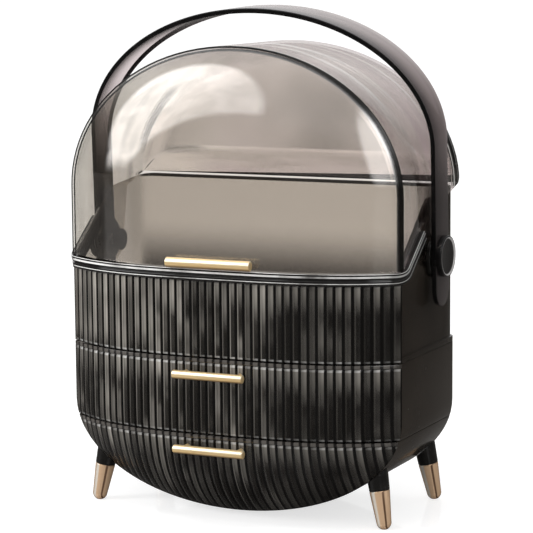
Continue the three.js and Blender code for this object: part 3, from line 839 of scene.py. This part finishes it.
cover(surface(place, tip_gold, 0.1 + 0.05 * turning, tip_metal))


def stood(piece, x, y):
    """Turns a piece made along the X axis into a foot's place and lean."""
    side = math.copysign(1, x)
    ahead = math.copysign(1, y - rear_foot_y / 2)
    along = Vector((-side * foot_lean_x, -ahead * foot_lean_y, 1)).normalized()
    turn = Vector((1, 0, 0)).rotation_difference(along).to_matrix().to_4x4()
    piece.data.transform(Matrix.Translation((0, -front_y * mm, 0)))
    piece.data.transform(turn)
    start = Vector((x * mm, (y + front_y) * mm, (foot_end_radius - foot_flat) * mm))
    piece.data.transform(Matrix.Translation(start))
    return piece


round_end = []
for step in range(1, end_steps + 1):
    turn = step / end_steps * math.pi / 2
    round_end.append((-foot_end_radius * math.cos(turn), foot_end_radius * math.sin(turn)))
tip_corners = [round_end.pop(), (tip_length, tip_top_radius), (tip_length, foot_core)]
tip_profile = [*round_end, *rounded(tip_corners, foot_edge)]
collar_foot = tip_length + seam_gap
collar_top = collar_foot + collar_reach
collar_corners = [(collar_foot, foot_core), (collar_foot, tip_top_radius)]
collar_corners += [(collar_top, collar_top_radius), (collar_top, foot_core)]
for spot, x, y in (
    ("front_left", -foot_x, front_foot_y),
    ("front_right", foot_x, front_foot_y),
    ("rear_left", -foot_x, rear_foot_y),
    ("rear_right", foot_x, rear_foot_y),
):
    tip = stood(turned(f"tip_{spot}", tip_profile), x, y)
    cut(tip, block("below", -far, far, -far, far, -far, 0))
    fit(tip, "case", "rose_gold", [f"foot_tip_{spot}"], tip_finish)
    collar = stood(turned(f"collar_{spot}", rounded(collar_corners, foot_edge)), x, y)
    cut(collar, barrel("casing_room", -seam_gap, -far, wall_depth + seam_gap, back_radius))
    fit(collar, "case", "black_plastic", [f"foot_collar_{spot}"], black_finish)

# Drawers: each is an open bin of smoke plastic with a dished front wall and a smooth lip
# above its ribbed panel, which is screwed on with the pull bar.
bin_rear_room = 2
bin_finish, place = new_finish("smoke_bin")
haze = place.noise(24.0, 3.0)
number, beside = reeds(place)
between = (abs(beside) * 2).rise(0.5, 0.75)
in_front = 1 - place.axis("Y").rise(-0.052, -0.047)
haze_colour = haze.rise(0.3, 0.7).blend((0.03, 0.027, 0.024, 1), (0.05, 0.045, 0.04, 1))
lip_colour = between.blend((0.11, 0.1, 0.09, 1), (0.006, 0.005, 0.0045, 1))
bin_colour = in_front.blend(haze_colour, lip_colour)
bin_sheen = {"Specular IOR Level": 0.5, "Normal": moulded(place, 26.0, 0.06)}
bin_body = surface(place, bin_colour, 0.14 + 0.12 * haze, bin_sheen)
bin_solid = 0.62 + 0.3 * in_front
cover(bin_solid.layer(tint(place, 0.7, 0.65, 0.59), bin_body))


def drawer_bin(name, floor_z, top_z):
    """The bin: outside, lip and hollow, each cut to its own heights."""
    rear = wall_depth - wall - bin_rear_room
    outside = dished_barrel(name, bin_inset, rear, inner_radius)
    cut(outside, slab(floor_z, top_z), "INTERSECT")
    front_lip = dish("front_lip", 0)
    cut(front_lip, slab(top_z - lip_height, top_z), "INTERSECT")
    cut(outside, front_lip, "UNION")
    space = dished_barrel("space", front_inset, rear - bin_wall, inner_radius - bin_wall)
    cut(space, slab(floor_z + bin_wall, far), "INTERSECT")
    cut(outside, space)
    return soften(outside, case_edge)


for level, floor_z, casing_top_z in (
    ("lower", belly_z - belly_height - bin_wall, lower_top_z),
    ("middle", middle_floor_z + wall + drawer_gap, middle_top_z),
):
    body = f"{level}_drawer"
    made_bin = drawer_bin(f"{level}_bin", floor_z, casing_top_z - drawer_gap)
    fit(made_bin, body, "smoke_bin", [f"{level}_drawer_bin"], bin_finish)
    made_front = ribbed_panel(f"{level}_ribs", *panel_ends[level])
    fit(made_front, body, "smoke_ribs", [f"{level}_drawer_front"], rib_finish)

# Lid: one thin moulded shell of clear, smoke-tinted plastic, with a flat arched side band
# behind a dished front. Its ears reach down to the pivots, and a strip closes its rear cut.
lid_outset = 1
lid_wall = 2.3
lid_inset = lid_wall - lid_outset
lid_depth = 144
lid_back_radius = 24
hub_radius = 18
ear_front_y = 44
ear_rear_y = 91
ear_rear_z = 254
rear_rise = math.radians(0.9)
rear_room = 0.8
rear_corner = Vector((wall_depth - pivot_y, back_top_z - pivot_z))
rear_angle = math.atan2(rear_corner.y, rear_corner.x) + rear_rise
rear_reach = rear_corner.length + rear_room
hub_steps = 32
cut_facing = 0.95
cut_from_x = 0.12
cut_from_y = 0.06
lid_finish, place = new_finish("clear_smoke")
from_crease = place.axis("Y") - front_y * mm
# Painted shade: a black line along the crease where the dished front meets the band.
crease_shade = 1 - abs(from_crease).rise(0.0013, 0.0021)
# Painted highlight: more mirror gloss in a thin line just inside the crease.
inside_highlight = 1 - abs(from_crease + 0.0032).rise(0.0004, 0.001)
grazing = place.node("ShaderNodeLayerWeight", None, {"Blend": 0.5}, "Facing")
beside_case = abs(place.axis("X")).rise(0.108, 0.12) * grazing.rise(0.5, 0.56)
# Painted shade: the rear rounding beside the case is made black where it is seen edge-on, with
# painted highlight lines along it.
rear_shade = place.axis("Y").rise(0.0665, 0.0685) * beside_case
rear_highlight = (1 - abs(place.axis("Y") - 0.065).rise(0.0006, 0.0018)) * beside_case
rear_highlight += 0.3 * (1 - abs(place.axis("Y") - 0.074).rise(0.0003, 0.001)) * beside_case
# Streaky tint and extra gloss across the band.
streak_noise = place.stretched(5, 60, 5).noise(1.0, 3.0)
band_streaks = (1 - streak_noise.rise(0.34, 0.5)) * from_crease.rise(0.002, 0.006)
gloss = place.node("ShaderNodeFresnel", None, {"IOR": 1.5})
shine = place.math("MINIMUM", gloss * 1.1, 0.2) + 0.1 * inside_highlight + 0.3 * band_streaks
# Painted shade: all of the band but its left end takes a darker, streaky tint, and it stays less
# clear where seen edge-on.
side_band = from_crease.rise(0.002, 0.006) * place.axis("X").rise(-0.12, -0.05)
streaky = side_band * (0.25 + 0.75 * streak_noise.rise(0.4, 0.62))
pane = streaky.layer(tint(place, 0.86, 0.83, 0.8), tint(place, 0.77, 0.72, 0.725))
thin_look = grazing.rise(0.25, 0.6) * (1 - 0.85 * side_band)
pane = thin_look.layer(pane, tint(place, 0.95, 0.935, 0.91))
polish = {"Color": (1, 1, 1, 1), "Roughness": 0.03, "Normal": moulded(place, 9.0, 0.06)}
lid_body = shine.layer(pane, place.node("ShaderNodeBsdfGlossy", None, polish))
edge_colour = rear_highlight.blend((0.003, 0.0025, 0.002, 1), (0.7, 0.68, 0.65, 1))
thick_edge = surface(place, edge_colour, 0.12 + 0.1 * gloss, {"Specular IOR Level": 0.2})
dark_share = place.math("MAXIMUM", crease_shade * 0.99, (rear_shade + rear_highlight) * 0.88)
cover(dark_share.layer(lid_body, thick_edge))


def polar(reach, turn):
    """A point of the side view, from its reach and turn about the pivot."""
    return (pivot_y + reach * math.cos(turn), pivot_z + reach * math.sin(turn))


lid_side = [(-far, lid_edge_z), (0, lid_edge_z), (ear_front_y, slope_z(ear_front_y))]
for step in range(hub_steps + 1):
    lid_side.append(polar(hub_radius, math.pi + step / hub_steps * math.pi))
rear_cut = [polar(rear_reach, rear_angle), polar(rear_reach + lid_depth, rear_angle)]
lid_side += [(ear_rear_y, ear_rear_z), *rear_cut, (far, 2 * far), (-far, 2 * far)]
lid_shell = dished_barrel("lid", -lid_outset, lid_depth, lid_back_radius)
lid_room = dished_barrel("room", lid_inset, lid_depth - lid_wall, lid_back_radius - lid_wall)
cut(lid_shell, lid_room)
across_cut = Vector((-math.sin(rear_angle), math.cos(rear_angle))) * lid_wall
near = Vector(rear_cut[0])
beyond = Vector(rear_cut[1])
strip = side_plate([near, beyond, beyond + across_cut, near + across_cut])
cut(strip, dished_barrel("outside", -lid_outset, lid_depth, lid_back_radius), "INTERSECT")
cut(lid_shell, strip, "UNION")
cut(lid_shell, side_plate(lid_side), "INTERSECT")
bore_across(lid_shell, pivot_y, pivot_z)
fit(lid_shell, "lid", "smoke_lid", ["lid_shell"], lid_finish, black_finish)
across_cut.normalize()
for face in lid_shell.data.polygons:
    lies_in_cut = abs(Vector((face.normal.y, face.normal.z)).dot(across_cut)) > cut_facing
    if lies_in_cut and face.center.y > cut_from_y and abs(face.center.x) > cut_from_x:
        face.material_index = 1

# Handle: one moulded band of dark smoke plastic, bent to an arch, wide at the top and with
# round-ended legs that turn on the pivots.
handle_half = half_width + 6.6
handle_arc_z = 299
handle_arc_height = 106
handle_thickness = 4
leg_width = 28
handle_top_width = 47
leg_drop = 40
handle_lean = math.radians(2.2)
handle_edge = 0.9
edge_facing = 0.6
leg_steps = 12
arch_steps = 96
handle_finish, place = new_finish("smoke_handle")
lift = place.axis("Z").rise(0.25, 0.36)
from_inside = 1 - place.axis("X").rise(-0.12, -0.02)
toward_rear = place.axis("Y").rise(-0.016, 0.034 - 0.014 * from_inside)
streaks = place.stretched(30, 4, 30).noise(1.0, 3.0)
# Painted light: the band is coloured paler toward its rear edge, most on its upper part and
# least on the left leg.
painted_light_share = toward_rear * (0.1 - 0.08 * from_inside + 0.9 * lift)
band_colour = painted_light_share.blend((0.012, 0.01, 0.01, 1), (0.4, 0.33, 0.325, 1))
# Painted highlight: a pale strip along the rear edge of the top.
top_highlight_share = lift * place.axis("Y").rise(0.02, 0.04)
band_colour = top_highlight_share.blend(band_colour, (0.74, 0.66, 0.65, 1))
band_sheen = {"Specular IOR Level": 0.3, "Normal": moulded(place, 12.0, 0.05)}
band_body = surface(place, band_colour, 0.12 + 0.12 * streaks, band_sheen)
band_solid = 0.98 - (0.25 + 0.7 * from_inside) * lift * toward_rear
cover(band_solid.layer(tint(place, 0.82, 0.77, 0.77), band_body))
edge_finish, place = new_finish("handle_edge")
rub = place.noise(90.0, 4.0)
rubbed = rub.rise(0.4, 0.8).blend((0.003, 0.003, 0.003, 1), (0.008, 0.007, 0.007, 1))
cover(surface(place, rubbed, 0.1 + 0.08 * rub, {"Specular IOR Level": 0.2}))


def handle_stations():
    """From the left leg's round end over the arch to the right leg's end."""
    leg = []
    for step in range(1, leg_steps + 1):
        turn = step / leg_steps * math.pi / 2
        z = pivot_z - leg_drop + leg_width / 2 * (1 - math.cos(turn))
        leg.append((z, leg_width * math.sin(turn)))
    stations = [(-handle_half, z, (-1, 0), width) for z, width in leg]
    for step in range(arch_steps + 1):
        turn = math.pi * (1 - step / arch_steps)
        out = (math.cos(turn) * handle_arc_height, math.sin(turn) * handle_half)
        x = handle_half * math.cos(turn)
        z = handle_arc_z + handle_arc_height * math.sin(turn)
        width = leg_width + (handle_top_width - leg_width) * math.sin(turn)
        stations.append((x, z, out, width))
    stations += [(handle_half, z, (1, 0), width) for z, width in reversed(leg)]
    return stations


band_half = handle_thickness / 2
handle_rings = []
for x, z, out, width in handle_stations():
    out = Vector(out).normalized()
    reach = width / 2
    corners = [(0, reach), (band_half, reach), (band_half, -reach)]
    corners += [(-band_half, -reach), (-band_half, reach), (0, reach)]
    section = rounded(corners, min(handle_edge, reach / 2))
    handle_rings.append([(x + out.x * u, v, z - pivot_z + out.y * u) for u, v in section[:-1]])
handle = lofted("handle", handle_rings)
bore_across(handle, 0, 0)
handle.data.transform(Matrix.Translation((0, -front_y * mm, 0)))
handle.data.transform(Matrix.Rotation(handle_lean, 4, "X"))
handle.data.transform(Matrix.Translation((0, (pivot_y + front_y) * mm, pivot_z * mm)))
fit(handle, "handle", "smoke_handle", ["carry_handle"], handle_finish, edge_finish)
for face in handle.data.polygons:
    face.material_index = 1 if abs(face.normal.y) > edge_facing else 0

# Pivots: on either side a steel pin through case, lid and handle, a nut inside, a washer
# between lid and leg, and a dished cap outside, all but the pin in black glossy plastic.
cap_radius = 16.5
cap_height = 4.7
cap_rim = 1.9
cap_recess = 1.2
cap_slant = 0.5
cap_dip = 0.25
cap_edge = 0.9
nut_radius = 9
nut_height = 5
nut_floor = 2.2
nut_edge = 0.8
pin_edge = 0.5
washer_radius = 18
chamfer = 0.8
washer_edge = 0.4
core = 0.2
pivot_steps = 64
steel_finish, place = new_finish("plain_steel")
grain = place.noise(300.0, 3.0)
steel_colour = grain.rise(0.3, 0.7).blend((0.5, 0.5, 0.5, 1), (0.62, 0.62, 0.62, 1))
cover(surface(place, steel_colour, 0.28 + 0.12 * grain, {"Metallic": 1.0}))
cap_finish, place = new_finish("cap_gloss")
scratch = place.noise(240.0, 4.0)
forward = place.axis("Y") - (pivot_y + front_y) * mm
upward = place.axis("Z") - pivot_z * mm
from_axis = place.math("SQRT", forward * forward + upward * upward)
# Painted highlight: a pale thin ring at the edge of the cap's recess.
highlight_ring = 1 - abs(from_axis - (cap_radius - cap_rim + 0.1) * mm).rise(0.3 * mm, 0.8 * mm)
cap_dark = scratch.rise(0.4, 0.8).blend((0.005, 0.0045, 0.0045, 1), (0.012, 0.011, 0.011, 1))
cap_colour = (highlight_ring * 0.9).blend(cap_dark, (0.62, 0.6, 0.59, 1))
cover(surface(place, cap_colour, 0.1 + 0.1 * scratch, {"Specular IOR Level": 0.3}))
nut_end = half_width - case_inset - wall - running_gap
nut_from = nut_end - nut_height
nut_bore_from = nut_from + nut_floor
washer_from = half_width + lid_outset + running_gap
washer_end = handle_half - band_half - running_gap
cap_from = handle_half + band_half + running_gap
cap_end = cap_from + cap_height
cap_floor = cap_end - cap_recess
recess_radius = cap_radius - cap_rim
bore_end = cap_floor - chamfer
pin_end = bore_end - running_gap
nut_corners = [(nut_from, core), (nut_from, nut_radius), (nut_end, nut_radius)]
nut_corners += [(nut_end, bore_radius), (nut_bore_from, bore_radius), (nut_bore_from, core)]
cap_corners = [(bore_end, core), (bore_end, bore_radius), (cap_from, bore_radius)]
cap_corners += [(cap_from, cap_radius), (cap_end, cap_radius), (cap_end, recess_radius)]
cap_corners += [(cap_floor, recess_radius - cap_slant), (cap_floor - cap_dip, core)]
washer_profile = [(washer_from, bore_radius), (washer_from, washer_radius - washer_edge)]
washer_profile += [(washer_from + washer_edge, washer_radius)]
washer_profile += [(washer_end - washer_edge, washer_radius)]
washer_profile += [(washer_end, washer_radius - washer_edge), (washer_end, bore_radius)]
pin_from = nut_bore_from + running_gap
pin_corners = [(pin_from, core), (pin_from, pin_radius), (pin_end, pin_radius), (pin_end, core)]
for hand, side in (("left", -1), ("right", 1)):
    for part, profile, slot, finish in (
        ("nut", rounded(nut_corners, nut_edge), "black_plastic", black_finish),
        ("cap", rounded(cap_corners, cap_edge), "black_plastic", cap_finish),
        ("washer", washer_profile, "black_plastic", black_finish),
        ("pin", rounded(pin_corners, pin_edge), "steel", steel_finish),
    ):
        profile = [(side * along, radius) for along, radius in profile]
        piece = turned(f"{part}_{hand}", profile, pivot_steps, part == "washer")
        moved(piece, 0, pivot_y, pivot_z)
        fit(piece, "case", slot, [f"pivot_{part}_{hand}"], finish)

# Pull bars: a satin gold bar with slightly chamfered ends stands off each drawer and the
# lid on two short bosses. A steel screw from inside holds each boss.
bar_radius = 3.4
bar_half_length = 30.5
bar_stand = 7
lid_bar_radius = 4
lid_bar_half_length = 36.5
lid_bar_stand = 2.2
boss_radius = 2.4
boss_from_end = 7
screw_radius = 1.2
screw_head_radius = 2.8
screw_head_height = 1.6
screw_slot_half = 0.4
screw_hold = 0.5
bar_chamfer = 0.8
lower_bar_z = 61.5
middle_bar_z = 121.5
rod_steps = 32
bar_finish, place = new_finish("satin_gold")
lines = place.stretched(18, 900, 900).noise(1.0, 4.0)
bar_gold = lines.rise(0.3, 0.7).blend((0.9, 0.62, 0.29, 1), (0.98, 0.73, 0.39, 1))
upward = place.node("ShaderNodeTexCoord", None, None, "Normal").axis("Z")
# Painted highlight: a pale band where the bar's surface faces partly upward.
bar_gold = (1 - abs(upward - 0.45).rise(0.15, 0.5)).blend(bar_gold, (1.0, 0.88, 0.64, 1))
# Painted shade: the underside is coloured dark brown.
upper_side = upward.rise(-0.8, -0.35)
bar_gold = upper_side.blend((0.4, 0.25, 0.11, 1), bar_gold)
bar_metal = {"Metallic": 0.55, "Normal": relief(lines, 0.08, 0.0004)}
cover(surface(place, bar_gold, 0.27 + 0.1 * lines, bar_metal))


def rod_y(name, radius, x, from_y, to_y, z):
    """A round rod along Y."""
    rod = turned(name, [(from_y, radius), (to_y, radius)], rod_steps)
    rod.data.transform(Matrix.Translation((0, -front_y * mm, 0)))
    rod.data.transform(Matrix.Rotation(math.pi / 2, 4, "Z"))
    rod.data.transform(Matrix.Translation((x * mm, front_y * mm, z * mm)))
    return rod


drawer_bar_y = -(bulge + bar_stand + bar_radius)
lid_bar_y = -(bulge + lid_outset + lid_bar_stand + lid_bar_radius)
drawer_bar = (bar_radius, bar_half_length, drawer_bar_y, 0, front_inset)
lid_bar = (lid_bar_radius, lid_bar_half_length, lid_bar_y, -lid_outset, lid_inset)
for level, body, bar_z, (radius, half_length, bar_y, face_inset, screw_inset) in (
    ("lower", "lower_drawer", lower_bar_z, drawer_bar),
    ("middle", "middle_drawer", middle_bar_z, drawer_bar),
    ("lid", "lid", lid_edge_z + lid_bar_radius, lid_bar),
):
    bar_corners = [(-half_length, core), (-half_length, radius)]
    bar_corners += [(half_length, radius), (half_length, core)]
    bar = turned(f"{level}_bar", rounded(bar_corners, bar_chamfer))
    moved(bar, 0, bar_y, bar_z)
    boss_x = half_length - boss_from_end
    for hand, x in (("left", -boss_x), ("right", boss_x)):
        foot_y = -bulge_depth(face_inset, abs(x) - boss_radius, bar_z + boss_radius) - panel_gap
        cut(bar, rod_y("boss", boss_radius, x, bar_y, foot_y, bar_z), "UNION")
        edge_x = abs(x) + screw_head_radius
        head_y = running_gap - bulge_depth(screw_inset, edge_x, bar_z - screw_head_radius)
        slot_y = head_y + screw_head_height / 2
        screw = f"{level}_screw_{hand}"
        shank = rod_y(screw, screw_radius, x, bar_y + screw_hold, slot_y, bar_z)
        head = rod_y("head", screw_head_radius, x, head_y, head_y + screw_head_height, bar_z)
        cut(shank, head, "UNION")
        slot_x = (x - screw_head_radius, x + screw_head_radius)
        slot_z = (bar_z - screw_slot_half, bar_z + screw_slot_half)
        cut(shank, block("slot", *slot_x, slot_y, head_y + far, *slot_z))
        fit(shank, body, "steel", [f"{level}_pull_screw_{hand}"], steel_finish)
    fit(bar, body, "gold_satin", [f"{level}_pull_bar"], bar_finish)
